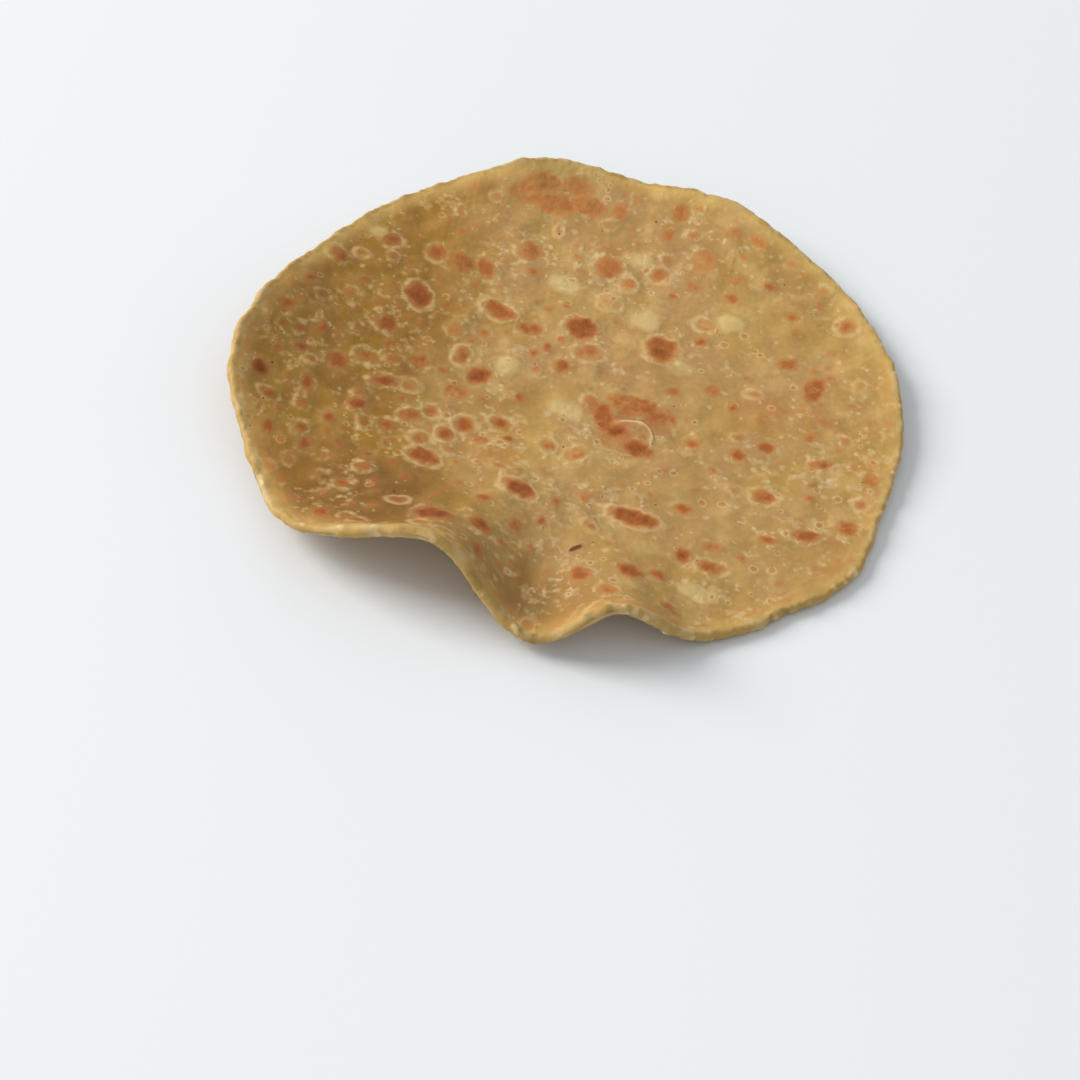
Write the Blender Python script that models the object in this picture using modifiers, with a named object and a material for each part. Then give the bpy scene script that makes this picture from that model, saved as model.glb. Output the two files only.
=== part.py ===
"""Chapati flatbread: one round of soft dough, dished and folded at its rim.

The bread is a thin sheet. Its underside is a function of two numbers, the share
of the radius (0 in the middle, 1 at the rim) and the azimuth (0 along +X, 90
along +Y), so every wave and lobe of the rim is one row of named sizes below.
Metres, +Z up. The bread rests on the flat middle of its underside, at Z = 0.
"""
import math

import bmesh
import bpy
import numpy as np
from mathutils import Matrix, Vector

RADIUS = 0.0905           # of the rolled round, before its lobes
EDGE_THICKNESS = 0.0032   # the rim is a little fuller
MIDDLE_SHARE = 0.75       # thickness in the middle, as a share of the edge's
BEAD_WIDTH = 0.010        # the rim thickens over this distance
EDGE_ROUNDING = 0.0011    # of the rim's two edges
EDGE_SEGMENTS = 2
CELLS = 40                # across the round
LENGTH_STEPS = 24         # for adding up the sheet's length along a radius

# Waves of the rim: azimuth, spread before it, spread after it (degrees at the
# rim), lift of the rim, share of the radius where the rise starts.
WAVES = (
    (186, 36, 30, 0.0125, 0.25),    # the dished side
    (250, 20, 13, 0.0210, 0.12),    # the large fold
    (285, 8.5, 10, 0.0135, 0.38),   # the small fold
    (104, 16, 12, 0.0075, 0.62),    # the back tongue
    (66, 18, 20, 0.0080, 0.50),
    (22, 25, 25, 0.0035, 0.45),
)

# Lobes of the outline: azimuth, spread (degrees), gain as a share of the radius.
LOBES = (
    (231, 12, 0.034),
    (155, 26, -0.085),
    (193, 9, 0.016),
    (208, 12, -0.010),
    (258, 14, -0.080),
    (298, 26, -0.065),
    (334, 10, 0.036),
    (343, 24, -0.045),
    (40, 26, 0.030),
    (69, 10, 0.026),
    (100, 9, 0.034),
)

BREAD_COLOUR = (0.46, 0.26, 0.10, 1.0)   # toasted wheat
BREAD_ROUGHNESS = 0.5


def turn(azimuth, middle):
    """Signed angle in degrees from middle to azimuth, the short way round."""
    return (azimuth - middle + 180) % 360 - 180


def rim_radius(azimuth):
    """Radius of the flat round: the nominal radius, with a bell curve added for each lobe."""
    gain = sum(size * np.exp(-(turn(azimuth, middle) / spread) ** 2) for middle, spread, size in LOBES)
    return RADIUS * (1 + gain)


def rise(share, azimuth):
    """Height and slope of the sheet: each wave rises with the square of the way out from
    its start, times a bell curve across it. The bell's two flanks have their own spreads,
    and they keep their width towards the middle, as a bent sheet does."""
    height = np.zeros_like(share)
    slope = np.zeros_like(share)
    for middle, before, after, lift, start in WAVES:
        off = turn(azimuth, middle)
        bell = lift * np.exp(-(off * share / np.where(off < 0, before, after)) ** 2)
        way = np.clip((share - start) / (1 - start), 0, 1)
        height += bell * way ** 2
        slope += bell * 2 * way / ((1 - start) * rim_radius(azimuth))
    return height, slope


def sheet(share, azimuth):
    """Points of the underside. The sheet keeps its length along each radius, so where it
    rises its distance from the middle is the sum of the level part of each small step."""
    level = np.zeros_like(share)
    for step in range(LENGTH_STEPS):
        slope = rise(share * (step + 0.5) / LENGTH_STEPS, azimuth)[1]
        level += np.sqrt(1 - slope ** 2)
    distance = share * rim_radius(azimuth) * level / LENGTH_STEPS
    angle = np.radians(azimuth)
    return np.stack([distance * np.cos(angle), distance * np.sin(angle), rise(share, azimuth)[0]], axis=-1)


def square_to_round(x, y):
    """Share and azimuth of a point of the square from -1 to 1: each square ring becomes
    a circle, and each of the square's four quarters fills 90 degrees."""
    share = np.maximum(np.abs(x), np.abs(y))
    size = np.maximum(share, 1e-9)
    sideways = np.abs(x) >= np.abs(y)
    azimuth = np.where(sideways, 45 * y / size * np.sign(x) + np.where(x < 0, 180, 0),
                       90 - 45 * x / size * np.sign(y) + np.where(y < 0, 180, 0))
    return share, azimuth


def remove_everything():
    for old in list(bpy.data.objects):
        bpy.data.objects.remove(old, do_unlink=True)


def bread_material():
    material = bpy.data.materials.new("toasted_dough")
    material.use_nodes = True
    shader = material.node_tree.nodes["Principled BSDF"]
    shader.inputs["Base Color"].default_value = BREAD_COLOUR
    shader.inputs["Roughness"].default_value = BREAD_ROUGHNESS
    shader.inputs["Metallic"].default_value = 0.0
    material.diffuse_color = BREAD_COLOUR
    return material


def sheet_mesh():
    """A square grid carried onto the waved round, with the rim's weight on each vertex."""
    work = bmesh.new()
    bmesh.ops.create_grid(work, x_segments=CELLS, y_segments=CELLS, size=1)
    corners = np.array([vertex.co for vertex in work.verts])
    share, azimuth = square_to_round(corners[:, 0], corners[:, 1])
    bead = np.clip(1 - (1 - share) * RADIUS / BEAD_WIDTH, 0, 1)
    layer = work.verts.layers.deform.verify()
    for vertex, point, weight in zip(work.verts, sheet(share, azimuth), bead):
        vertex.co = point
        vertex[layer][0] = float(weight)
    mesh = bpy.data.meshes.new("chapati")
    work.to_mesh(mesh)
    work.free()
    mesh.shade_smooth()
    return mesh


def thicken(bread):
    """Thickness upwards from the underside, fuller in the rim's bead, with a rounded edge."""
    bread.vertex_groups.new(name="bead")
    solid = bread.modifiers.new("thickness", "SOLIDIFY")
    solid.thickness = EDGE_THICKNESS
    solid.offset = 1
    solid.vertex_group = "bead"
    solid.thickness_vertex_group = MIDDLE_SHARE
    edge = bread.modifiers.new("rounded_edge", "BEVEL")
    edge.width = EDGE_ROUNDING
    edge.segments = EDGE_SEGMENTS
    edge.limit_method = "ANGLE"
    edge.angle_limit = math.radians(60)


def centre(bread):
    """Moves the sheet in its mesh, so that the bread's box stands centred on the origin."""
    bpy.context.view_layer.update()
    solid = bread.evaluated_get(bpy.context.evaluated_depsgraph_get())
    corners = [Vector(corner) for corner in solid.bound_box]
    middle = sum(corners, Vector()) / len(corners)
    lowest = min(corner.z for corner in corners)
    bread.data.transform(Matrix.Translation((-middle.x, -middle.y, -lowest)))


def main():
    remove_everything()
    parts = bpy.data.collections.new("chapati_flatbread")
    bpy.context.scene.collection.children.link(parts)
    bread = bpy.data.objects.new("chapati", sheet_mesh())
    bread.data.materials.append(bread_material())
    parts.objects.link(bread)
    thicken(bread)
    centre(bread)


main()
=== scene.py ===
"""Looks of the chapati flatbread: the dough's fine surface, its scorch marks, floor, light and camera."""
import math

import bpy
import numpy as np
from mathutils import Matrix, Vector


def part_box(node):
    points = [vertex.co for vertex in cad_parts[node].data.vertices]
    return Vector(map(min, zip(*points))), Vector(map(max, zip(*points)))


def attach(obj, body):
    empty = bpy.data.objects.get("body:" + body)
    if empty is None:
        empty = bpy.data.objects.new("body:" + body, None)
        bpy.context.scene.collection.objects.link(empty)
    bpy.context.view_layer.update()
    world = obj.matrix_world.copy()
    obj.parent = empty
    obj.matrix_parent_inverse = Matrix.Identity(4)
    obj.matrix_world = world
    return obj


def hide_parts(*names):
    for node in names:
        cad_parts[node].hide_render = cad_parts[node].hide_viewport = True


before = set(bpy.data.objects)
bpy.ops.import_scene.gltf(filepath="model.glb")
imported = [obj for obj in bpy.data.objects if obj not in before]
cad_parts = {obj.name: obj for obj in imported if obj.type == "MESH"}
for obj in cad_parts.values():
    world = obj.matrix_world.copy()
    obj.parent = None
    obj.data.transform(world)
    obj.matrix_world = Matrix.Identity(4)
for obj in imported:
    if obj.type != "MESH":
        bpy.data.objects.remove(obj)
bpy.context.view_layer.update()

MM = 0.001

# ---------------------------------------------------------------------------
# The sheet of dough, with the same named sizes as the solid
# ---------------------------------------------------------------------------

RADIUS = 0.0905
EDGE_THICKNESS = 0.0032
MIDDLE_SHARE = 0.75
BEAD_WIDTH = 0.010
LENGTH_STEPS = 24

# azimuth, spread before it, spread after it (degrees at the rim), lift, start of the rise
WAVES = (
    (186, 36, 30, 0.0125, 0.25),
    (250, 20, 13, 0.0210, 0.12),
    (285, 8.5, 10, 0.0135, 0.38),
    (104, 16, 12, 0.0075, 0.62),
    (66, 18, 20, 0.0080, 0.50),
    (22, 25, 25, 0.0035, 0.45),
)

# azimuth, spread (degrees), gain as a share of the radius
LOBES = (
    (231, 12, 0.034),
    (155, 26, -0.085),
    (193, 9, 0.016),
    (208, 12, -0.010),
    (258, 14, -0.080),
    (298, 26, -0.065),
    (334, 10, 0.036),
    (343, 24, -0.045),
    (40, 26, 0.030),
    (69, 10, 0.026),
    (100, 9, 0.034),
)


def turn(azimuth, middle):
    """Signed angle in degrees from middle to azimuth, the short way round."""
    return (azimuth - middle + 180) % 360 - 180


def rim_radius(azimuth):
    """Radius of the flat round: the nominal radius, with a bell curve added for each lobe."""
    gain = sum(size * np.exp(-(turn(azimuth, middle) / spread) ** 2) for middle, spread, size in LOBES)
    return RADIUS * (1 + gain)


def rise(share, azimuth):
    """Height and slope: each wave rises with the square of the way out from its start, times
    a bell curve across it whose two flanks keep their width towards the middle."""
    height = np.zeros_like(share)
    slope = np.zeros_like(share)
    for middle, before, after, lift, start in WAVES:
        off = turn(azimuth, middle)
        bell = lift * np.exp(-(off * share / np.where(off < 0, before, after)) ** 2)
        way = np.maximum((share - start) / (1 - start), 0)
        height += bell * way ** 2
        slope += bell * 2 * way / ((1 - start) * rim_radius(azimuth))
    return height, slope


def lay(x, y):
    """Points of the underside for places on the flat round. The distance from the middle is
    the sum of the level part of each small step along the radius, which keeps its length."""
    radius = np.hypot(x, y)
    azimuth = np.degrees(np.arctan2(y, x)) % 360
    share = radius / rim_radius(azimuth)
    level = np.zeros_like(share)
    for step in range(LENGTH_STEPS):
        slope = rise(share * (step + 0.5) / LENGTH_STEPS, azimuth)[1]
        level += np.sqrt(1 - np.minimum(slope, 0.98) ** 2)
    shrink = level / LENGTH_STEPS
    return np.stack([x * shrink, y * shrink, rise(share, azimuth)[0]], axis=-1)


def upward(x, y, step=0.3 * MM):
    """Unit normals of the sheet: the cross product of its two directions at each place."""
    along = lay(x + step, y) - lay(x - step, y)
    across = lay(x, y + step) - lay(x, y - step)
    normal = np.cross(along, across)
    return normal / np.linalg.norm(normal, axis=-1, keepdims=True)


# ---------------------------------------------------------------------------
# Unevenness: sums of plane waves, and marks scattered over the round
# ---------------------------------------------------------------------------

def ripple(points, shortest, longest, seed, count=56):
    """Smooth unevenness around 0, mostly between -1 and 1: the sum of plane waves of random
    direction and phase, with lengths spread evenly by ratio from the shortest to the longest,
    divided by the root of half their count."""
    random = np.random.default_rng(seed)
    ways = random.normal(size=(count, points.shape[-1]))
    ways /= np.linalg.norm(ways, axis=1, keepdims=True)
    lengths = shortest * (longest / shortest) ** random.random(count)
    phases = random.random(count) * 2 * np.pi
    total = np.zeros(points.shape[:-1])
    for way, length, phase in zip(ways, lengths, phases):
        total += np.sin(points @ way * (2 * np.pi / length) + phase)
    return total / math.sqrt(count / 2)


def smooth(value, low, high):
    """0 below low, 1 above high, and an S curve between them; low may be the higher one."""
    way = np.clip((value - low) / (high - low), 0, 1)
    return way * way * (3 - 2 * way)


# Each mark: place right and back of the middle on the flat round, half length and half width
# of its browned core (mm), turn (degrees), browning from 0, pale, to 1, dark, and how much
# of a pale rim it has.
BIG_MARKS = (
    # the dished left side
    (-80, -19, 3.0, 2.6, 0, 0.92, 0.3),
    (-69, 33, 2.9, 2.4, -40, 0.75, 0.7),
    (-67, -18, 1.6, 2.6, 20, 0.70, 0.4),
    (-63, -39, 1.6, 2.2, 0, 0.80, 0.3),
    (-61, -6, 3.0, 2.8, 0, 0.60, 0.5),
    (-59, -28, 1.6, 2.2, 0, 0.85, 0.3),
    (-54, -1, 3.0, 2.2, 0, 0.35, 0.8),
    (-53, -20, 2.2, 2.6, 0, 0.80, 0.5),
    (-51, 13, 2.8, 2.8, -30, 0.70, 0.5),
    (-51, -52, 1.8, 1.6, 0, 0.80, 0.3),
    (-48, -8, 3.6, 2.0, 15, 0.75, 0.6),
    (-47, -44, 1.8, 1.6, 0, 0.50, 0.9),
    (-44, -25, 2.6, 2.0, 0, 0.50, 0.6),
    (-41, -7, 2.0, 1.8, 0, 0.30, 1.0),
    (-40, 3, 2.4, 2.4, 0, 0.45, 0.4),
    # the back left, with a cluster of three
    (-60, 48, 2.6, 2.8, 0, 0.05, 0.9),
    (-56, 46, 2.4, 2.6, -35, 0.45, 0.8),
    (-45, 27, 3.4, 4.8, 20, 0.85, 1.0),
    (-43, 46, 2.4, 3.2, 0, 0.75, 0.8),
    (-36, 44, 4.0, 4.0, 0, 0.50, 0.5),
    (-29, 44, 2.4, 4.0, 20, 0.65, 0.6),
    (-18, 55, 3.4, 4.0, 0, 0.60, 0.7),
    # the middle
    (-23, 29, 5.0, 2.8, -25, 0.65, 0.9),
    (-14, 25, 3.4, 2.4, 5, 0.55, 0.6),
    (0, 29, 4.6, 4.2, -10, 0.75, 0.6),
    (3, 20, 3.6, 3.0, 0, 0.30, 0.9),
    (-3, 13, 2.6, 2.2, 0, 0.60, 0.6),
    (-8, 19, 1.2, 2.2, 0, 0.70, 0.2),
    (22, 27, 4.4, 4.6, 0, 0.72, 0.8),
    (28, 22, 2.2, 2.0, 0, 0.12, 1.0),
    (-24, 3, 3.0, 3.6, -40, 0.92, 0.4),
    (-29, -5, 3.6, 2.8, 0, 0.40, 0.3),
    (-12, -2, 2.2, 1.8, 0, 0.35, 0.2),
    (6, 2, 1.6, 1.8, 0, 0.40, 0.8),
    (-34, -15, 2.0, 2.0, 0, 0.50, 0.8),
    (-25, -17, 2.8, 2.8, -20, 0.65, 0.9),
    (-16, -13, 2.4, 2.0, 0, 0.65, 0.8),
    (-29, -23, 2.0, 2.4, 0, 0.75, 1.0),
    (-20, -21, 2.8, 1.6, 0, 0.40, 0.5),
    (-35, -27, 2.0, 2.0, 0, 0.40, 0.9),
    # the coil that the dough was rolled from
    (17, 4, 7.0, 3.2, -4, 0.48, 0.1),
    (25, 1, 4.0, 3.6, 0, 0.45, 0.1),
    (10, -3, 2.6, 5.4, 10, 0.55, 0.1),
    (14, -7, 3.2, 2.6, 10, 0.92, 0.0),
    (20, -12, 4.6, 3.0, -8, 0.75, 0.1),
    # the back
    (-23, 77, 5.0, 3.4, -10, 0.46, 0.4),
    (-14, 75, 6.4, 4.0, 10, 0.55, 0.3),
    (-5, 77, 5.6, 3.6, -5, 0.48, 0.3),
    (-19, 82, 5.6, 3.2, 4, 0.38, 0.2),
    (-9, 83, 5.6, 3.2, -4, 0.40, 0.2),
    (4, 77, 2.4, 3.2, 0, 0.60, 0.4),
    (21, 80, 2.6, 3.4, 0, 0.60, 0.2),
    (37, 75, 2.4, 2.6, 0, 0.35, 0.3),
    (44, 74, 3.0, 2.0, -20, 0.55, 0.3),
    (54, 68, 1.6, 1.6, 0, 0.60, 0.2),
    (4, 55, 4.0, 4.2, 0, 0.60, 0.9),
    (10, 50, 1.8, 2.2, 0, 0.40, 1.0),
    (18, 56, 2.4, 2.2, 0, 0.75, 1.0),
    (30, 64, 3.4, 4.2, 0, 0.30, 0.3),
    # the right side
    (56, 30, 3.2, 2.2, 20, 0.60, 0.6),
    (64, 22, 2.8, 5.0, -20, 0.60, 0.3),
    (37, 15, 2.2, 2.4, 0, 0.35, 0.2),
    (34, -6, 2.0, 1.8, 0, 0.45, 0.4),
    (46, -7, 2.2, 2.4, 0, 0.75, 0.4),
    (68, -5, 3.6, 1.4, 20, 0.50, 0.4),
    (81, -8, 2.2, 2.2, 0, 0.50, 0.4),
    (54, -20, 3.0, 2.2, 0, 0.50, 0.9),
    (76, -26, 2.8, 2.6, 0, 0.50, 0.4),
    (66, -31, 4.0, 2.0, 10, 0.65, 0.6),
    (56, -35, 2.2, 1.4, 0, 0.45, 0.6),
    # the front, between the folds, and the dark flake
    (-33, -34, 3.8, 3.2, -25, 0.70, 1.0),
    (-8, -38, 4.2, 3.1, -15, 0.85, 1.0),
    (-27, -63, 4.8, 4.2, 0, 0.92, 0.6),
    (-16, -60, 2.8, 3.0, 0, 0.85, 0.4),
    (22, -37, 6.2, 2.9, -8, 0.80, 1.0),
    (34, -30, 2.6, 2.0, 0, 0.65, 0.5),
    (43, -41, 2.4, 1.4, 0, 0.55, 0.4),
    (43, -48, 3.6, 2.2, 0, 0.55, 0.8),
    (12, -64, 2.8, 3.0, 0, 0.70, 0.3),
    (23, -59, 3.2, 3.4, 0, 0.75, 0.4),
    (30, -56, 2.4, 2.0, 0, 0.65, 0.4),
    (19, -71, 2.0, 2.2, 0, 0.40, 0.8),
    (9, -54, 2.2, 0.8, 50, 1.00, 0.0),
    # pale patches
    (-7, 45, 4.4, 3.4, 0, 0.02, 1.0),
    (6, 41, 2.6, 2.6, 0, 0.20, 1.0),
    (16, 37, 4.2, 4.0, 0, 0.00, 0.9),
    (12, 60, 3.2, 2.8, 0, 0.00, 0.8),
    (0, -3, 4.4, 3.0, -10, 0.00, 1.0),
    (-18, 9, 3.2, 3.2, 0, 0.05, 1.0),
    (39, 42, 3.8, 3.4, 0, 0.00, 0.9),
    (33, 40, 2.4, 2.0, 0, 0.25, 1.0),
    (40, -58, 5.4, 2.6, -5, 0.05, 1.0),
)

CLEARANCE = 1.6           # mm between the outlines of two scattered marks


def scatter(seed, placed, tries, smallest, largest, crowded):
    """More marks for a face: random places inside the round, kept where crowded(x, y) beats
    a random number and no other mark is near. Small ones are much more common. A row is drawn
    in full before it is judged, so that each try takes as many random numbers."""
    random = np.random.default_rng(seed)
    marks = list(placed)
    for _ in range(tries):
        distance, azimuth = RADIUS / MM * 0.97 * math.sqrt(random.random()), random.random() * 2 * math.pi
        x, y = distance * math.cos(azimuth), distance * math.sin(azimuth)
        size = smallest + (largest - smallest) * random.random() ** 2.6
        narrow = size * (0.6 + 0.35 * random.random())
        browning = 0.30 + 0.6 * random.random() * min(size / 2.2, 1.0)
        row = (x, y, size, narrow, random.random() * 180, browning, random.random() ** 3)
        if random.random() > crowded(x, y):
            continue
        near = (size + other[2] + CLEARANCE > math.hypot(x - other[0], y - other[1]) for other in marks)
        if not any(near):
            marks.append(row)
    return marks


def mark_places(x, y, marks, seed):
    """For each place, its distance in mm from the outline of the nearest mark, less than 0
    inside it, with that mark's browning and rim. The places are wavered a little first, so
    that no outline is a true ellipse."""
    flat = np.stack([x, y], axis=-1) / MM
    waver = [ripple(flat, 2.2, 9.0, seed + side, 24) for side in (0, 1)]
    best = np.full(x.shape, 1e9)
    finish = np.zeros(x.shape + (2,))
    for right, back, length, width, angle, browning, rim in marks:
        angle = math.radians(angle)
        bend = 0.07 * min(length, 4.5)
        dx, dy = flat[..., 0] - right + bend * waver[0], flat[..., 1] - back + bend * waver[1]
        u = (dx * math.cos(angle) + dy * math.sin(angle)) / length
        v = (dy * math.cos(angle) - dx * math.sin(angle)) / width
        outside = (np.hypot(u, v) - 1) * (length + width) / 2
        nearer = outside < best
        best = np.where(nearer, outside, best)
        finish[nearer] = (browning, rim)
    return np.concatenate([np.minimum(best, 9.0)[..., None], finish], axis=-1)


def mark_relief(mark):
    """Height of the marks in mm: a low dome that rises in two S curves from 2 mm outside the
    outline, a rim raised as a bell curve just outside it, and a slightly sunken core."""
    outside, browning, rim = mark[..., 0], mark[..., 1], mark[..., 2]
    dome = 0.14 * smooth(outside, 2.0, -1.0) + 0.16 * smooth(outside, 0.0, -4.0)
    ring = 0.04 * np.exp(-((outside - 0.5) / 0.6) ** 2) * rim
    core = 0.12 * smooth(outside, 0.0, -2.0) * browning
    return dome + ring - core


COIL = (16.8, -7.8)       # middle of the coil's mark on the flat round, mm
COIL_START = 135          # azimuth of the inner end of its crack, which runs clockwise
COIL_RADIUS = 5.7         # mm, of the spiral at its inner end
COIL_GROWTH = 3.4         # mm more a turn
COIL_LIP = 0.09           # mm, by which the dough inside the crack stands proud


def coil_crack(x, y):
    """The crack left by the end of the coiled dough: the distance in mm outwards from a spiral
    whose radius grows evenly with the turn, a little wavered, how open it is, 0 beyond its two
    ends, and how much the dough inside it and behind it was toasted by standing proud."""
    dx, dy = x / MM - COIL[0], y / MM - COIL[1]
    turned = (COIL_START - np.degrees(np.arctan2(dy, dx))) % 360
    outwards = np.hypot(dx, dy) - (COIL_RADIUS + COIL_GROWTH * turned / 360)
    outwards += 0.28 * ripple(np.stack([dx, dy], axis=-1), 4, 10, 41, 24)
    openness = smooth(turned, 5, 35) * smooth(turned, 185, 120)
    openness += 0.3 * smooth(turned, 190, 215) * smooth(turned, 290, 250)
    behind = smooth(turned, 330, 290)
    pressed = behind + smooth(turned, 330, 350) - smooth(turned, 75, 150) * behind
    pressed *= smooth(outwards, -1.5, 1.5) * smooth(outwards, 7.5, 4.0)
    pressed = np.maximum(pressed, 0.8 * smooth(outwards, -0.4, -1.8))
    return outwards, openness * smooth(np.abs(outwards), 3.0, 2.0), pressed


def coil_relief(outwards, openness):
    """Height of the crack's lip in mm: it rises steeply at the crack and slopes down inwards."""
    lip = smooth(outwards, 0.35, -0.35) * smooth(outwards, -2.6, -0.2)
    return COIL_LIP * openness * lip


# ---------------------------------------------------------------------------
# The bread's mesh
# ---------------------------------------------------------------------------

TOP_CELLS = 256           # across the upper face; the underside has half as many
RIM_ROWS = 9              # round the rounded edge
RIM_DEPTH = 1.5 * MM      # how far the rounded edge reaches in

OUTLINE_WAVER = 0.0025    # of the outline, as a share of the radius
THICKNESS_SWAY = 0.14 * MM
EDGE_LUMPS = 0.15 * MM
FINE_SKIN = 0.03 * MM
SLOW_SKIN = 0.09 * MM
UNDERSIDE_ROOM = 0.35 * MM    # by which the underside lies higher, so that its marks fit under it


def square_to_round(x, y):
    """Share and azimuth of a point of the square from -1 to 1: each square ring becomes
    a circle, and each of the square's four quarters fills 90 degrees."""
    share = np.maximum(np.abs(x), np.abs(y))
    size = np.maximum(share, 1e-9)
    sideways = np.abs(x) >= np.abs(y)
    azimuth = np.where(sideways, 45 * y / size * np.sign(x) + np.where(x < 0, 180, 0),
                       90 - 45 * x / size * np.sign(y) + np.where(y < 0, 180, 0))
    return share, azimuth


def round_grid(cells):
    """A square grid carried onto the round: flat x and y of its points, its quads, and the
    numbers of its border points in turn, anticlockwise from the corner at -X, -Y."""
    ticks = np.linspace(-1, 1, cells + 1)
    share, azimuth = square_to_round(*np.meshgrid(ticks, ticks, indexing="xy"))
    radius = share * (rim_radius(azimuth % 360) - RIM_DEPTH)
    x, y = radius * np.cos(np.radians(azimuth)), radius * np.sin(np.radians(azimuth))
    number = np.arange((cells + 1) ** 2).reshape(cells + 1, cells + 1)
    corners = [number[:-1, :-1], number[:-1, 1:], number[1:, 1:], number[1:, :-1]]
    quads = np.stack(corners, axis=-1).reshape(-1, 4)
    border = np.concatenate([number[0, :-1], number[:-1, -1], number[-1, :0:-1], number[:0:-1, 0]])
    return x.ravel(), y.ravel(), quads, border


def band(upper, lower):
    """Quads between two closed rows of points with as many points each, faces outwards."""
    return np.stack([upper, lower, np.roll(lower, -1), np.roll(upper, -1)], axis=-1)


def halving_band(upper, lower):
    """Triangles between a closed row and one with half its points: three for each lower edge."""
    first, second, third = upper[0::2], upper[1::2], np.roll(upper[0::2], -1)
    after = np.roll(lower, -1)
    return np.concatenate([np.stack(three, axis=-1) for three in
                           ((first, lower, second), (second, lower, after), (second, after, third))])


def bread_layout():
    """All places of the bread: flat x and y, how far up through the thickness (1 on the upper
    face, 0 on the underside), and the faces. The rounded edge is a half ellipse in section,
    carried round the rim in rows."""
    top_x, top_y, top_quads, top_border = round_grid(TOP_CELLS)
    low_x, low_y, low_quads, low_border = round_grid(TOP_CELLS // 2)
    azimuth = np.arctan2(top_y[top_border], top_x[top_border])
    radius = np.hypot(top_x[top_border], top_y[top_border])
    angle = np.linspace(np.pi / 2, -np.pi / 2, RIM_ROWS + 2)[1:-1, None]
    rim = radius + RIM_DEPTH * np.cos(angle)
    rim_x, rim_y = rim * np.cos(azimuth), rim * np.sin(azimuth)
    rim_up = np.broadcast_to(0.5 + 0.5 * np.sin(angle), rim.shape)

    x = np.concatenate([top_x, rim_x.ravel(), low_x])
    y = np.concatenate([top_y, rim_y.ravel(), low_y])
    up = np.concatenate([np.ones_like(top_x), rim_up.ravel(), np.zeros_like(low_x)])

    rows = len(top_x) + np.arange(rim.size).reshape(rim.shape)
    low_start = len(top_x) + rim.size
    rows = [top_border, *rows]
    quads = [top_quads, *(band(a, b) for a, b in zip(rows, rows[1:])), low_quads[:, ::-1] + low_start]
    triangles = halving_band(rows[-1], low_border + low_start)
    faces = np.concatenate(quads).tolist() + triangles.tolist()
    return x, y, up, faces


def crowd_left(x, y):
    """Chance that a scattered mark stays: marks are densest on the dished side."""
    return 0.35 + 0.65 * float(smooth(np.array(x), 30.0, -50.0))


def crowd_evenly(x, y):
    """Chance that a scattered mark stays, the same everywhere."""
    return 0.8


KNOBS = 120                # little blisters round the edge


def edge_knobs(place, edge):
    """Height in mm of small round blisters on the edge, 1 mm to 3 mm across: each is a dome
    round one of the edge's points, as high as a seventh of its width. The dome is one less the
    square of the share of its radius, to the power of 1.2."""
    random = np.random.default_rng(77)
    chosen = random.choice(np.flatnonzero(edge > 0.9), KNOBS, replace=False)
    height = np.zeros(len(place))
    for centre in place[chosen]:
        radius = 0.5 + 0.9 * random.random() ** 2
        near = np.sum((place - centre) ** 2, axis=-1) / radius ** 2
        height = np.maximum(height, 0.3 * radius * np.maximum(1 - near, 0) ** 1.2)
    return height


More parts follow.
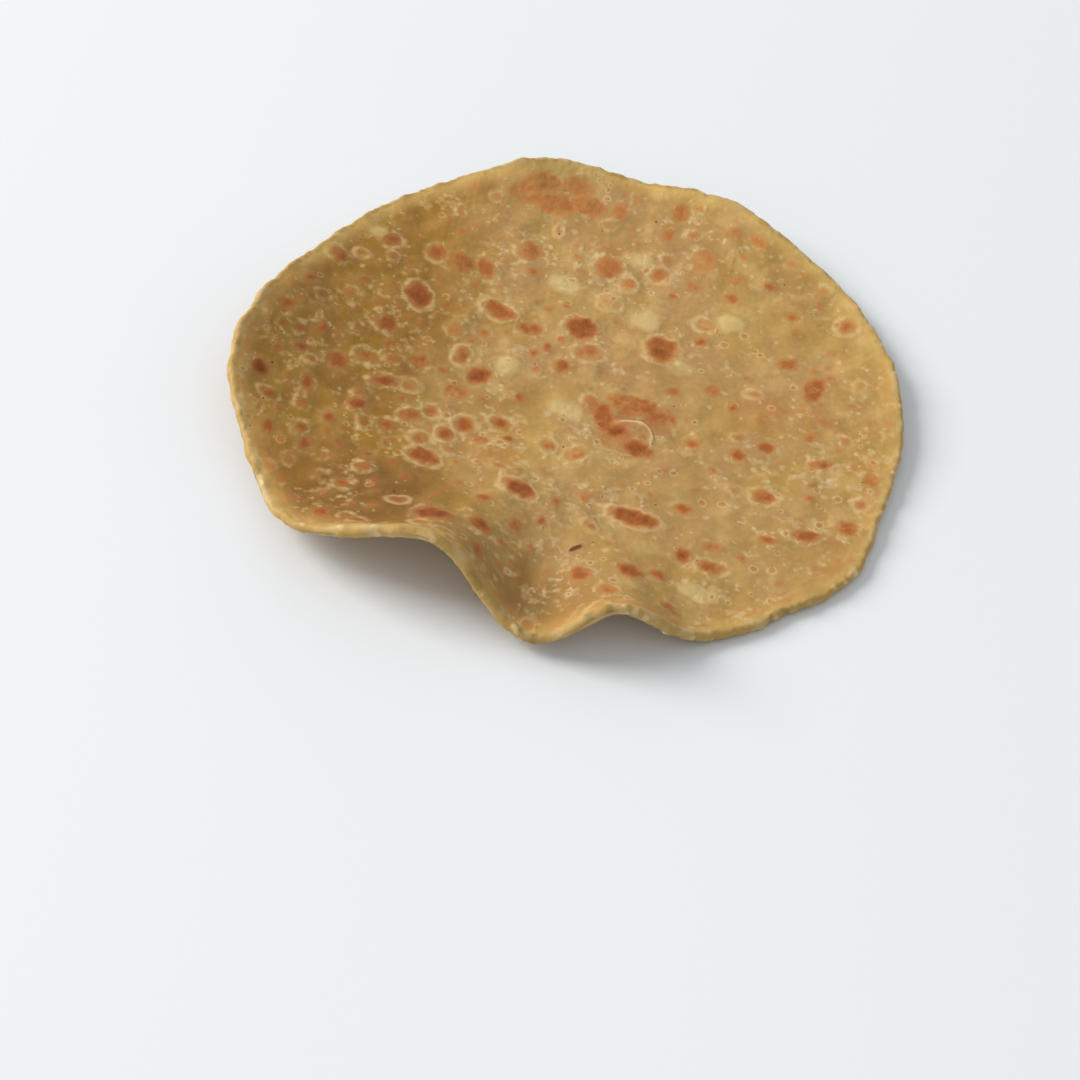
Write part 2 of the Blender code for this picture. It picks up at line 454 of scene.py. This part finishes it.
def bread_mesh():
    """The finished bread: the underside is the laid sheet, the rest is raised from it along
    its normal by the thickness there. Then come the marks, slow unevenness and the edge's
    lumps, all along the same normal."""
    x, y, up, faces = bread_layout()
    radius = np.hypot(x, y)
    azimuth = np.degrees(np.arctan2(y, x)) % 360
    inwards = rim_radius(azimuth) - radius
    under = up < 0.5

    # the outline wavers inwards by a few tenths of a millimetre
    circle = np.stack([np.cos(np.radians(azimuth)), np.sin(np.radians(azimuth))], axis=-1) * RADIUS / MM
    waver = 1 - OUTLINE_WAVER * (1 + ripple(circle, 5, 30, 5)) * smooth(inwards, 12 * MM, 0)
    x, y = x * waver, y * waver
    flat = np.stack([x, y], axis=-1) / MM

    base = lay(x, y)
    normal = upward(x, y)
    bead = smooth(inwards, BEAD_WIDTH, 0)
    thickness = EDGE_THICKNESS * (MIDDLE_SHARE + (1 - MIDDLE_SHARE) * bead)
    thickness += THICKNESS_SWAY * ripple(flat, 7, 22, 6)

    upper = mark_places(x, y, scatter(100, BIG_MARKS, 1200, 1.0, 3.0, crowd_left), 110)
    lower = mark_places(x, -y, scatter(300, (), 700, 1.3, 6.5, crowd_evenly), 310)
    mark = np.where(under[:, None], lower, upper)
    outwards, openness, pressed = coil_crack(x, y)
    openness = np.where(under, 0, openness)
    pressed = np.where(under, 0, pressed)
    marks = MM * (mark_relief(mark) + coil_relief(outwards, openness))

    edge = smooth(inwards, 2.2 * MM, 0.4 * MM)
    place = base / MM + normal * up[:, None] * 3.0
    knobs = edge_knobs(place, edge)
    lumps = EDGE_LUMPS * np.maximum(ripple(place, 1.6, 4.5, 8, 90), -0.3) * edge + MM * knobs
    skin = FINE_SKIN * ripple(place, 1.6, 4.5, 9, 90) + SLOW_SKIN * ripple(flat, 7, 18, 10)
    relief = marks * smooth(inwards, 0.5 * MM, 3 * MM) + lumps + skin

    raised = up * thickness + np.where(under, UNDERSIDE_ROOM - relief, relief)
    points = base + normal * raised[:, None]
    points[:, 2] = np.maximum(points[:, 2], 0)

    mesh = bpy.data.meshes.new("chapati_dough")
    mesh.from_pydata(points, [], faces)
    mesh.update()
    mesh.shade_smooth()
    aside = np.where(under, 1.0, 0.0)    # gives the underside a pattern of its own
    write_attribute(mesh, "laid_flat", np.stack([x + aside, y, up], axis=-1))
    write_attribute(mesh, "mark", mark)
    write_attribute(mesh, "coil", np.stack([outwards, openness, pressed], axis=-1))
    write_attribute(mesh, "rim", np.stack([edge, knobs, inwards / MM], axis=-1))
    return mesh


def write_attribute(mesh, name, values):
    """One vector for each point of the mesh, which the materials read."""
    attribute = mesh.attributes.new(name, "FLOAT_VECTOR", "POINT")
    attribute.data.foreach_set("vector", np.ascontiguousarray(values, dtype=np.float32).ravel())


def centre_on(mesh, low, high):
    """Moves the mesh so that its box is centred on the solid's box and stands as low. Returns
    the move, which is also where the middle of the round has come to."""
    points = np.empty(len(mesh.vertices) * 3, dtype=np.float32)
    mesh.vertices.foreach_get("co", points)
    points = points.reshape(-1, 3)
    middle = (points.min(axis=0) + points.max(axis=0)) / 2
    target = (np.array(low) + np.array(high)) / 2
    move = target - middle
    move[2] = low[2] - points[:, 2].min()
    mesh.transform(Matrix.Translation(Vector(move)))
    return move


# ---------------------------------------------------------------------------
# Materials
# ---------------------------------------------------------------------------

def shade(red, green, blue):
    """A display colour from 0 to 255 as linear light."""
    values = np.array([red, green, blue]) / 255
    linear = np.where(values <= 0.04045, values / 12.92, ((values + 0.055) / 1.055) ** 2.4)
    return (*(float(value) for value in linear), 1.0)


# the open dough, from golden to the brown of the oil-soaked dished side, which is also darkened as painted
# shade
GOLDEN = shade(183, 147, 81)
OLIVE = shade(170, 134, 71)
TAN = shade(177, 137, 88)
SHADED_OILY = shade(137, 95, 22)
SHADED_OILY_OLIVE = shade(150, 109, 25)
# a darker brown for painted shade on the large fold and in the valley beside it
SHADE_BROWN = shade(122, 82, 32)
PALE = shade(204, 170, 106)
PATCH = shade(216, 190, 128)

# rims and bubbles
CREAM = shade(216, 180, 124)
PEARL = shade(224, 198, 150)

# browned places, from light to dark
TOAST = shade(184, 114, 50)
AMBER = shade(196, 136, 74)
SCORCH = shade(184, 115, 58)
RUST = shade(162, 90, 39)
DARK = shade(118, 56, 22)
CREASE = shade(120, 80, 40)
SPECK = shade(40, 24, 14)

# the edge
EDGE_DOUGH = shade(180, 145, 82)
EDGE_PALE = shade(197, 168, 115)
DRY = shade(212, 180, 104)


class Nodes:
    """Adds nodes to one tree; a value is a number, a colour or another node's socket."""

    def __init__(self, tree):
        self.tree = tree

    def add(self, kind, **settings):
        """A new node of a kind, with its settings."""
        node = self.tree.nodes.new("ShaderNode" + kind)
        for name, value in settings.items():
            setattr(node, name, value)
        return node

    def put(self, socket, value):
        """Links a socket to the input, or sets the input's value."""
        if isinstance(value, bpy.types.NodeSocket):
            self.tree.links.new(value, socket)
        else:
            socket.default_value = value

    def math(self, operation, *values):
        """One step of arithmetic."""
        node = self.add("Math", operation=operation)
        for socket, value in zip(node.inputs, values):
            self.put(socket, value)
        return node.outputs[0]

    def mix(self, factor, first, second):
        """The first colour at a factor of 0, the second at 1."""
        node = self.add("Mix", data_type="RGBA", clamp_factor=True)
        self.put(node.inputs["Factor"], factor)
        self.put(node.inputs[6], first)
        self.put(node.inputs[7], second)
        return node.outputs[2]

    def step(self, value, low, high, to_low=0.0, to_high=1.0):
        """An S curve from to_low at low to to_high at high."""
        node = self.add("MapRange", interpolation_type="SMOOTHSTEP")
        for socket, number in zip(node.inputs, (value, low, high, to_low, to_high)):
            self.put(socket, number)
        return node.outputs[0]

    def noise(self, vector, size, detail=2.0, roughness=0.5, distortion=0.0):
        """Smooth noise around 0.5 whose patches are about size metres across."""
        node = self.add("TexNoise", noise_dimensions="3D")
        self.put(node.inputs["Vector"], vector)
        node.inputs["Scale"].default_value = 0.5 / size
        node.inputs["Detail"].default_value = detail
        node.inputs["Roughness"].default_value = roughness
        node.inputs["Distortion"].default_value = distortion
        return node.outputs[0]

    def attribute(self, name):
        """A vector that the mesh carries for each of its points."""
        return self.add("Attribute", attribute_name=name, attribute_type="GEOMETRY").outputs["Vector"]

    def split(self, vector):
        """The three numbers of a vector."""
        node = self.add("SeparateXYZ")
        self.put(node.inputs[0], vector)
        return node.outputs

    def group(self, tree, **values):
        """The outputs of a node group, given its inputs by name."""
        node = self.add("Group", node_tree=tree)
        for name, value in values.items():
            self.put(node.inputs[name], value)
        return node.outputs


def mark_group():
    """Scorch mark masks from the distance to a mark's outline: the browned core, how deep its
    brown is, the thin pale rim round it, the pale fill of one that isn't browned, and the
    slightly darker dough around."""
    tree = bpy.data.node_groups.new("scorch_mark", "ShaderNodeTree")
    for label in ("Mark", "Place"):
        tree.interface.new_socket(label, in_out="INPUT", socket_type="NodeSocketVector")
    for label in ("Core", "Depth", "Rim", "Fill", "Halo"):
        tree.interface.new_socket(label, in_out="OUTPUT", socket_type="NodeSocketFloat")
    nodes = Nodes(tree)
    given, result = tree.nodes.new("NodeGroupInput").outputs, tree.nodes.new("NodeGroupOutput")
    outside, browning, rim = nodes.split(given["Mark"])
    waver = nodes.noise(given["Place"], 2.0 * MM, detail=1)
    off = nodes.math("MULTIPLY_ADD", nodes.math("SUBTRACT", waver, 0.5), 0.95, outside)
    mottle = nodes.noise(given["Place"], 0.6 * MM, detail=2)
    blotch = nodes.noise(given["Place"], 1.2 * MM, detail=2)
    browned = nodes.step(browning, 0.08, 0.28)

    soft = nodes.step(off, 0.8, -1.0, 0.0, 1.0)
    sharp = nodes.step(outside, 0.35, -0.10, 0.0, 1.0)
    burnt = nodes.step(browning, 0.97, 0.99)
    solid = nodes.math("MAXIMUM", soft, nodes.math("MULTIPLY", sharp, burnt))
    patchy = nodes.step(nodes.math("MULTIPLY_ADD", browning, 0.60, blotch), 0.48, 0.90, 0.45, 1.0)
    nodes.put(result.inputs["Core"], nodes.math("MULTIPLY", nodes.math("MULTIPLY", solid, patchy), browned))

    inner = nodes.step(off, 0.2, -2.2, 0.0, 0.85)
    uneven = nodes.math("ADD", nodes.math("MULTIPLY", nodes.math("SUBTRACT", blotch, 0.5), 1.7),
                        nodes.math("MULTIPLY", nodes.math("SUBTRACT", mottle, 0.5), 0.5))
    uneven = nodes.math("MULTIPLY", uneven, 0.40)
    depth = nodes.math("MULTIPLY_ADD", nodes.math("ADD", inner, 0.25), browning, uneven)
    nodes.put(result.inputs["Depth"], nodes.math("MULTIPLY_ADD", burnt, 0.8, depth))

    ring = nodes.step(nodes.math("ABSOLUTE", nodes.math("SUBTRACT", off, 1.1)), 0.0, 1.4, 1.0, 0.0)
    broken = nodes.step(nodes.math("MULTIPLY_ADD", rim, 0.50, blotch), 0.64, 1.10, 0.0, 1.0)
    broken = nodes.math("MULTIPLY", broken, nodes.step(browning, 0.04, 0.20))
    nodes.put(result.inputs["Rim"], nodes.math("MULTIPLY", ring, broken))

    filled = nodes.step(nodes.math("MULTIPLY_ADD", blotch, 2.4, off), 2.6, -0.2, 0.0, 1.0)
    unbrowned = nodes.step(browning, 0.45, 0.05, 0.0, 1.0)
    nodes.put(result.inputs["Fill"], nodes.math("MULTIPLY", nodes.math("MULTIPLY", filled, unbrowned), rim))

    around = nodes.math("MULTIPLY", nodes.step(off, 3.2, 1.0, 0.0, 1.0), browned)
    nodes.put(result.inputs["Halo"], nodes.math("MULTIPLY", around, browning))
    return tree


def dot_group():
    """Small bubbles in random cells, with a size of their own each: solid dots, rings, and
    the middles of the rings. Share is how many of the cells have one."""
    tree = bpy.data.node_groups.new("small_bubbles", "ShaderNodeTree")
    tree.interface.new_socket("Place", in_out="INPUT", socket_type="NodeSocketVector")
    for label in ("Scale", "Share", "Largest", "Hollow"):
        tree.interface.new_socket(label, in_out="INPUT", socket_type="NodeSocketFloat")
    for label in ("Dot", "Ring", "Middle"):
        tree.interface.new_socket(label, in_out="OUTPUT", socket_type="NodeSocketFloat")
    nodes = Nodes(tree)
    given, result = tree.nodes.new("NodeGroupInput").outputs, tree.nodes.new("NodeGroupOutput")
    cell = nodes.add("TexVoronoi", voronoi_dimensions="2D", feature="F1")
    nodes.put(cell.inputs["Vector"], given["Place"])
    nodes.put(cell.inputs["Scale"], given["Scale"])
    chance, size, kind = nodes.split(cell.outputs["Color"])
    radius = nodes.math("MULTIPLY", given["Largest"], nodes.math("MULTIPLY_ADD", size, 0.55, 0.45))
    away = nodes.math("DIVIDE", cell.outputs["Distance"], radius)
    present = nodes.math("LESS_THAN", chance, given["Share"])
    hollow = nodes.math("LESS_THAN", kind, given["Hollow"])
    hollow_here = nodes.math("MULTIPLY", hollow, present)
    solid_here = nodes.math("SUBTRACT", present, hollow_here)
    dot = nodes.step(away, 0.25, 1.0, 1.0, 0.0)
    nodes.put(result.inputs["Dot"], nodes.math("MULTIPLY", dot, solid_here))
    ring = nodes.step(nodes.math("ABSOLUTE", nodes.math("SUBTRACT", away, 0.68)), 0.0, 0.34, 1.0, 0.0)
    nodes.put(result.inputs["Ring"], nodes.math("MULTIPLY", ring, hollow_here))
    middle = nodes.step(away, 0.2, 0.7, 1.0, 0.0)
    nodes.put(result.inputs["Middle"], nodes.math("MULTIPLY", middle, hollow_here))
    return tree


# slow changes of the open dough's colour: the place they go by, size of a patch (mm), detail,
# roughness and distortion of the noise, where it begins and where it is full, strength, colour
DOUGH_CHANGES = (
    ("flat", 12, 2, 0.5, 0.4, 0.34, 0.64, 1.00, OLIVE),
    ("solid", 8, 3, 0.5, 0.0, 0.40, 0.66, 0.85, TAN),
    ("flat", 24, 1, 0.5, 0.0, 0.42, 0.60, 0.45, TAN),
    ("flat", 8, 3, 0.55, 0.3, 0.52, 0.72, 0.45, TOAST),
    ("solid", 4, 2, 0.5, 0.3, 0.50, 0.72, 0.55, PALE),
    ("solid", 0.8, 3, 0.6, 0.0, 0.45, 0.72, 0.22, PALE),
    ("solid", 0.8, 3, 0.6, 0.0, 0.55, 0.28, 0.18, OLIVE),
)

# painted shade on the upper face, darker patches on the crest of the large fold and in the valley beside
# it: right and back of the middle (mm), reach (mm), strength
SHADE_PATCHES = (
    (-46, -58, 30, 0.75),
    (-11, -72, 20, 0.30),
    (8, -77, 19, 0.36),
)

# small bubbles: cell (mm), largest radius as a share of it, share of the bubbles that are
# rings, strength, share of cells with one in the open and in a crowd. First come pearls of
# 1 to 2 mm, then larger bubbles, then rings with an orange middle.
BUBBLES = (
    (2.2, 0.48, 0.08, 0.38, 0.04, 0.50),
    (3.4, 0.40, 0.40, 0.38, 0.07, 0.42),
    (4.9, 0.36, 0.90, 0.32, 0.10, 0.30),
)


class Dough:
    """What the dough's colours go by: the place on the flat round with the way up through the
    thickness, the place in space, and what the mesh carries for its edge, coil and marks."""

    def __init__(self, nodes):
        self.flat = nodes.attribute("laid_flat")
        self.solid = nodes.add("TexCoord").outputs["Object"]
        self.right, self.back, self.up = nodes.split(self.flat)
        self.edge, self.knob, self.inwards = nodes.split(nodes.attribute("rim"))
        self.outwards, self.openness, self.pressed = nodes.split(nodes.attribute("coil"))
        self.mark = nodes.group(mark_group(), Mark=nodes.attribute("mark"), Place=self.flat)
        self.dots = dot_group()
        # 1 on the dished side, where the dough is thinner, oilier and more olive, and is also darkened as
        # painted shade, along a swayed line
        sway = nodes.math("SUBTRACT", nodes.noise(self.flat, 16 * MM, 2), 0.5)
        swayed = nodes.math("MULTIPLY_ADD", sway, 0.07, self.right)
        dished = nodes.step(swayed, -12 * MM, -46 * MM)
        self.oily_and_shade = nodes.math("MULTIPLY", dished, nodes.step(self.inwards, 1.0, 7.0))


def open_dough(nodes, dough):
    """Colour of the dough before its bubbles and browned marks."""
    places = {"flat": dough.flat, "solid": dough.solid}
    colour = GOLDEN
    for place, size, detail, roughness, distortion, begins, full, strength, tone in DOUGH_CHANGES:
        noise = nodes.noise(places[place], size * MM, detail, roughness, distortion)
        colour = nodes.mix(nodes.step(noise, begins, full, 0.0, strength), colour, tone)

    # the front is more evenly golden; the dished side is darker, partly from its olive tone with more oil
    # and partly as painted shade
    colour = nodes.mix(nodes.step(dough.back, 0.0, -55 * MM, 0.0, 0.32), colour, GOLDEN)
    shaded_oily = nodes.mix(nodes.step(nodes.noise(dough.flat, 7 * MM, 2), 0.40, 0.60), SHADED_OILY, SHADED_OILY_OLIVE)
    colour = nodes.mix(nodes.math("MULTIPLY", dough.oily_and_shade, 0.80), colour, shaded_oily)

    # painted shade: darker patches on the crest of the large fold and in the valley beside it
    for right, back, reach, strength in SHADE_PATCHES:
        away = nodes.add("VectorMath", operation="DISTANCE")
        nodes.put(away.inputs[0], dough.flat)
        away.inputs[1].default_value = (right * MM, back * MM, 1.0)
        shade_patch = nodes.step(away.outputs["Value"], reach * MM, 0.3 * reach * MM, 0.0, strength)
        colour = nodes.mix(shade_patch, colour, SHADE_BROWN)

    # tan dough round each browned mark, and pale patches
    colour = nodes.mix(nodes.math("MULTIPLY", dough.mark["Halo"], 0.35), colour, TAN)
    return nodes.mix(nodes.math("MULTIPLY", dough.mark["Fill"], 0.62), colour, PATCH)


def add_bubbles(nodes, dough, colour):
    """Small bubbles, crowded in places, with uneven outlines, and froth where they run
    together. Returns the colour and the masks that the skin rises by."""
    bend = nodes.add("TexNoise", noise_dimensions="3D")
    nodes.put(bend.inputs["Vector"], dough.flat)
    bend.inputs["Scale"].default_value = 1 / (1.5 * MM)
    bend.inputs["Detail"].default_value = 2
    shift = nodes.add("VectorMath", operation="MULTIPLY_ADD")
    nodes.put(shift.inputs[0], bend.outputs["Color"])
    shift.inputs[1].default_value = (1.3 * MM, 1.3 * MM, 1.3 * MM)
    nodes.put(shift.inputs[2], dough.flat)
    bent = shift.outputs["Vector"]

    crowd = nodes.step(nodes.noise(dough.flat, 2.4 * MM, 2, 0.6), 0.47, 0.58)
    region = nodes.step(nodes.noise(dough.flat, 14 * MM, 1), 0.40, 0.60, 0.12, 1.0)
    crowd = nodes.math("MULTIPLY", crowd, region)
    unbrowned = nodes.math("SUBTRACT", 1.0, dough.mark["Core"])
    # bubbles on the dished side are duller, partly from the oil there and partly as painted shade
    pearl = nodes.mix(nodes.math("MULTIPLY", dough.oily_and_shade, 0.5), PEARL, PALE)
    inside = nodes.step(dough.edge, 0.5, 0.0)

    froth = nodes.step(nodes.noise(dough.flat, 1.2 * MM, 1.5), 0.46, 0.68)
    froth = nodes.math("MULTIPLY", nodes.math("MULTIPLY", froth, crowd), unbrowned)
    colour = nodes.mix(nodes.math("MULTIPLY", froth, 0.30), colour, pearl)
    heights = [nodes.math("MULTIPLY", froth, inside)]
    for cell, largest, hollow, strength, lone, crowded in BUBBLES:
        share = nodes.math("MULTIPLY_ADD", crowd, crowded - lone, lone)
        bubble = nodes.group(dough.dots, Place=bent, Scale=1 / (cell * MM), Share=share,
                             Largest=largest, Hollow=hollow)
        colour = nodes.mix(nodes.math("MULTIPLY", bubble["Middle"], 0.6), colour, TOAST)
        pale = nodes.math("MAXIMUM", bubble["Dot"], bubble["Ring"])
        colour = nodes.mix(nodes.math("MULTIPLY", pale, strength), colour, pearl)
        heights.append(nodes.math("MULTIPLY", pale, inside))
    return colour, heights


def add_marks(nodes, dough, colour):
    """The coil, toasted softly in patches, then each mark's pale rim and its browned core,
    which is darker on the dished side, partly from the oil and partly as painted shade, and lighter at the
    back."""
    patch = nodes.step(nodes.noise(dough.flat, 2.2 * MM, 3, 0.6), 0.34, 0.60, 0.28, 1.0)
    toasted = nodes.math("MULTIPLY", dough.pressed, patch)
    colour = nodes.mix(nodes.math("MULTIPLY", toasted, 0.68), colour, RUST)
    colour = nodes.mix(nodes.math("MULTIPLY", dough.mark["Rim"], 0.56), colour, CREAM)
    brown = nodes.mix(nodes.step(dough.mark["Depth"], 0.15, 0.68), SCORCH, RUST)
    brown = nodes.mix(nodes.step(dough.mark["Depth"], 0.65, 1.20), brown, DARK)
    # cores are darker on the dished side, partly from the oil there and partly as painted shade
    brown = nodes.mix(nodes.math("MULTIPLY", dough.oily_and_shade, 0.28), brown, DARK)
    brown = nodes.mix(nodes.step(dough.back, 25 * MM, 75 * MM, 0.0, 0.42), brown, AMBER)
    return nodes.mix(nodes.math("MULTIPLY", dough.mark["Core"], 0.93), colour, brown)


def add_crack(nodes, dough, colour):
    """The coil's crack: a pale lip with a thin dark line outside it, both a little wavered."""
    sway = nodes.math("SUBTRACT", nodes.noise(dough.flat, 2.6 * MM, 2), 0.5)
    wavered = nodes.math("MULTIPLY_ADD", sway, 1.6, dough.outwards)
    for middle, clear, faded, strength, tone in ((-0.45, 0.05, 0.65, 0.55, PEARL),
                                                 (0.35, 0.0, 0.5, 0.60, CREASE)):
        away = nodes.math("ABSOLUTE", nodes.math("SUBTRACT", wavered, middle))
        shown = nodes.math("MULTIPLY", nodes.step(away, clear, faded, 1.0, 0.0), dough.openness)
        colour = nodes.mix(nodes.math("MULTIPLY", shown, strength), colour, tone)
    return colour


def add_specks(nodes, dough, colour):
    """A few black specks, about half a millimetre across."""
    speck = nodes.group(dough.dots, Place=dough.flat, Scale=1 / (13 * MM), Share=0.13,
                        Largest=0.035, Hollow=0)
    return nodes.mix(speck["Dot"], colour, SPECK)


def add_edge(nodes, dough, colour):
    """The edge is paler, less cooked dough, with whiter blisters. Inside it lie a broken
    toasted line, streaks along the rim, strongest at the front, and a drier zone, strongest
    at the back. Distances inwards from the rim are in mm."""
    stray = nodes.math("SUBTRACT", nodes.noise(dough.flat, 3 * MM, 3), 0.5)
    strayed = nodes.math("MULTIPLY_ADD", stray, 3.0, dough.inwards)
    line = nodes.step(nodes.math("ABSOLUTE", nodes.math("SUBTRACT", strayed, 3.5)), 0.0, 1.3, 1.0, 0.0)
    broken = nodes.step(nodes.noise(dough.flat, 6 * MM, 3), 0.42, 0.62, 0.0, 0.60)
    colour = nodes.mix(nodes.math("MULTIPLY", line, broken), colour, TOAST)

    # noise over the way round and, drawn out, the way inwards
    azimuth = nodes.math("ARCTAN2", dough.back, dough.right)
    drawn_out = nodes.add("CombineXYZ")
    nodes.put(drawn_out.inputs[0], nodes.math("MULTIPLY", nodes.math("COSINE", azimuth), RADIUS))
    nodes.put(drawn_out.inputs[1], nodes.math("MULTIPLY", nodes.math("SINE", azimuth), RADIUS))
    nodes.put(drawn_out.inputs[2], nodes.math("MULTIPLY", dough.inwards, 5 * MM))
    streak = nodes.step(nodes.noise(drawn_out.outputs[0], 4 * MM, 3, 0.6), 0.50, 0.62)
    streak = nodes.math("MULTIPLY", streak, nodes.step(dough.inwards, 2.0, 3.4))
    streak = nodes.math("MULTIPLY", streak, nodes.step(dough.inwards, 9.0, 5.0))
    front = nodes.step(dough.back, 0.0, -60 * MM, 0.15, 0.60)
    streak = nodes.math("MULTIPLY", streak, nodes.math("MULTIPLY", front, dough.up))
    colour = nodes.mix(streak, colour, SCORCH)

    towards_back = nodes.step(dough.back, 0.0, 60 * MM, 0.35, 0.70)
    dry = nodes.math("MULTIPLY", nodes.step(dough.inwards, 8.0, 0.5), towards_back)
    colour = nodes.mix(dry, colour, DRY)
    rim = nodes.math("MULTIPLY", nodes.step(strayed, 2.9, 1.3), 0.90)
    uneven = nodes.step(nodes.noise(dough.solid, 2.6 * MM, 3, 0.5), 0.42, 0.66)
    colour = nodes.mix(rim, colour, nodes.mix(uneven, EDGE_DOUGH, EDGE_PALE))
    return nodes.mix(nodes.step(dough.knob, 0.02, 0.30, 0.0, 0.6), colour, PEARL)


def skin_normal(nodes, dough, heights):
    """Fine wrinkles, bubbles, raised rims, rough sunken cores and the edge's rough dough."""
    fine = nodes.math("MULTIPLY", nodes.noise(dough.solid, 0.9 * MM, 3, 0.5), 0.6)
    rough_core = nodes.math("MULTIPLY", dough.mark["Core"], nodes.noise(dough.solid, 0.5 * MM, 2, 0.6))
    rough_edge = nodes.math("MULTIPLY", dough.edge, nodes.noise(dough.solid, 1.2 * MM, 2))
    raised = [(height, 0.16) for height in heights]
    raised += [(rough_core, 0.5), (dough.mark["Rim"], 0.45), (dough.mark["Core"], -0.25), (rough_edge, 1.2)]
    for mask, share in raised:
        fine = nodes.math("MULTIPLY_ADD", mask, share, fine)
    bump = nodes.add("Bump")
    bump.inputs["Strength"].default_value = 0.8
    bump.inputs["Distance"].default_value = 0.35 * MM
    nodes.put(bump.inputs["Height"], fine)
    return bump.outputs["Normal"]


def dough_material():
    """Oily, toasted dough: the open dough first, then what lies on it, in the order of the
    steps below, and a skin with a soft gloss that lets a little light through."""
    material = bpy.data.materials.new("toasted_dough")
    material.use_nodes = True
    nodes = Nodes(material.node_tree)
    shader = material.node_tree.nodes["Principled BSDF"]
    dough = Dough(nodes)
    colour, heights = add_bubbles(nodes, dough, open_dough(nodes, dough))
    for add in (add_marks, add_crack, add_specks, add_edge):
        colour = add(nodes, dough, colour)
    nodes.put(shader.inputs["Base Color"], colour)
    nodes.put(shader.inputs["Normal"], skin_normal(nodes, dough, heights))
    gloss = nodes.step(nodes.noise(dough.solid, 3 * MM, 3), 0.3, 0.7, 0.45, 0.62)
    nodes.put(shader.inputs["Roughness"], gloss)
    shader.inputs["Specular IOR Level"].default_value = 0.16
    shader.inputs["Subsurface Weight"].default_value = 0.15
    shader.inputs["Subsurface Radius"].default_value = (1.0, 0.5, 0.2)
    shader.inputs["Subsurface Scale"].default_value = 0.002
    return material


def floor_material():
    """Matt, nearly white, with a slight change of tone over the table."""
    material = bpy.data.materials.new("pale_table")
    material.use_nodes = True
    nodes = Nodes(material.node_tree)
    shader = material.node_tree.nodes["Principled BSDF"]
    here = nodes.add("TexCoord").outputs["Object"]
    nodes.put(shader.inputs["Base Color"],
              nodes.mix(nodes.noise(here, 300 * MM, 1), shade(231, 235, 238), shade(236, 239, 241)))
    shader.inputs["Roughness"].default_value = 0.7
    return material


# ---------------------------------------------------------------------------
# Pieces
# ---------------------------------------------------------------------------

def build_bread():
    """The one piece of the scene. Returns the place of the middle of its round."""
    mesh = bread_mesh()
    middle = centre_on(mesh, *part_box("chapati"))
    mesh.materials.append(dough_material())
    bread = bpy.data.objects.new("chapati_bread", mesh)
    bpy.context.scene.collection.objects.link(bread)
    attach(bread, "root")
    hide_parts("chapati")
    return Vector(middle)


FLOOR_HALF = 4.0


def build_floor():
    """A square table top, at the height of the bread's underside."""
    mesh = bpy.data.meshes.new("floor")
    corners = [(-FLOOR_HALF, -FLOOR_HALF, 0), (FLOOR_HALF, -FLOOR_HALF, 0),
               (FLOOR_HALF, FLOOR_HALF, 0), (-FLOOR_HALF, FLOOR_HALF, 0)]
    mesh.from_pydata(corners, [], [(0, 1, 2, 3)])
    mesh.materials.append(floor_material())
    floor = bpy.data.objects.new("floor", mesh)
    bpy.context.scene.collection.objects.link(floor)


# ---------------------------------------------------------------------------
# Light and camera
# ---------------------------------------------------------------------------

WINDOW_PLACE = (-3.8, 0.6, 2.3)
WINDOW_SIZE = 2.4
WINDOW_WATTS = 210
SKY_STRENGTH = 0.56


def area_light(name, place, size, watts, colour):
    """A square light that faces the origin."""
    data = bpy.data.lights.new(name, "AREA")
    data.shape = "SQUARE"
    data.size = size
    data.energy = watts
    data.color = colour
    light = bpy.data.objects.new(name, data)
    bpy.context.scene.collection.objects.link(light)
    light.location = place
    light.rotation_euler = (-Vector(place)).to_track_quat("-Z", "Y").to_euler()


def build_light():
    """Soft, slightly cool light from all round, and a large window at the left."""
    world = bpy.data.worlds.new("studio")
    world.use_nodes = True
    background = world.node_tree.nodes["Background"]
    background.inputs["Color"].default_value = (0.96, 0.98, 1.0, 1.0)
    background.inputs["Strength"].default_value = SKY_STRENGTH
    bpy.context.scene.world = world
    area_light("window", WINDOW_PLACE, WINDOW_SIZE, WINDOW_WATTS, (1.0, 0.985, 0.96))


ELEVATION = 44.0          # of the camera above the bread
DISTANCE = 0.665          # from the middle of the round
LENS = 84.7               # mm
SENSOR = 36               # mm wide
ROLL = 11.4               # degrees
TIP_DOWN = 2.96           # degrees, so that the bread stands high in the view
TIP_LEFT = -0.59


def build_camera(middle):
    """Looks down at the middle of the round, rolled a little, then tips its aim below it."""
    data = bpy.data.cameras.new("camera")
    data.lens = LENS
    data.sensor_width = SENSOR
    data.clip_start, data.clip_end = 0.01, 20
    camera = bpy.data.objects.new("camera", data)
    bpy.context.scene.collection.objects.link(camera)
    angle = math.radians(ELEVATION)
    back = Vector((0, -math.cos(angle), math.sin(angle)))
    camera.location = middle + back * DISTANCE
    aim = (-back).to_track_quat("-Z", "Y").to_matrix()
    roll = Matrix.Rotation(math.radians(ROLL), 3, "Z")
    down = Matrix.Rotation(math.radians(-TIP_DOWN), 3, "X")
    left = Matrix.Rotation(math.radians(-TIP_LEFT), 3, "Y")
    camera.rotation_mode = "QUATERNION"
    camera.rotation_quaternion = (aim @ roll @ (down @ left)).to_quaternion()
    bpy.context.scene.camera = camera


def set_display():
    """Plain display of the colours, without a film look."""
    bpy.context.scene.view_settings.view_transform = "Standard"
    bpy.context.scene.view_settings.look = "None"


middle_of_round = build_bread()
build_floor()
build_light()
build_camera(middle_of_round)
set_display()
